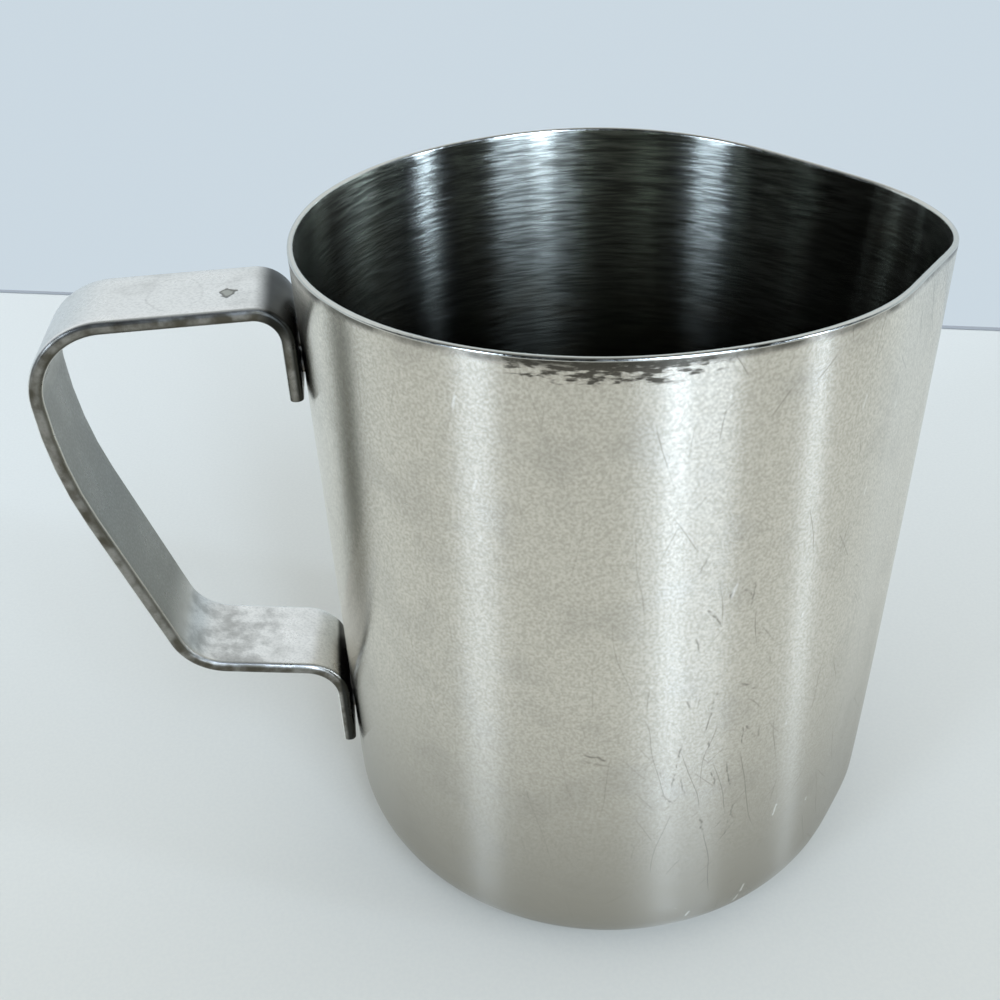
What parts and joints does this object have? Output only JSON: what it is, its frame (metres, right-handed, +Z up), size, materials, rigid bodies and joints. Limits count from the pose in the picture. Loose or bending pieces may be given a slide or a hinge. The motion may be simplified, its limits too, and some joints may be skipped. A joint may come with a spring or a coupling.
{
  "type": "milk frothing pitcher",
  "caption": "Steel milk frothing pitcher: a tall round open body with a flared pouring spout and a flat bent strap handle spot-welded to the back.",
  "frame": {"origin": "on the body's axis, in the plane the pitcher stands on", "axes": "+Z up along the body's axis, +X towards the spout, -X towards the handle, and the XZ plane is the plane of symmetry"},
  "size_m": [0.1313, 0.088, 0.1065],
  "materials": {
    "body_steel": "satin-polished drawn stainless steel, fine grain, brighter lip, brushed inside",
    "handle_steel": "satin stainless strip with polished rolled edges",
    "weld_steel": "fused, slightly discoloured stainless steel"
  },
  "bodies": {
    "root": {"pitcher_body": "body_steel", "strap_handle": "handle_steel", "upper_spot_welds": "weld_steel", "lower_spot_welds": "weld_steel"}
  },
  "joints": []
}
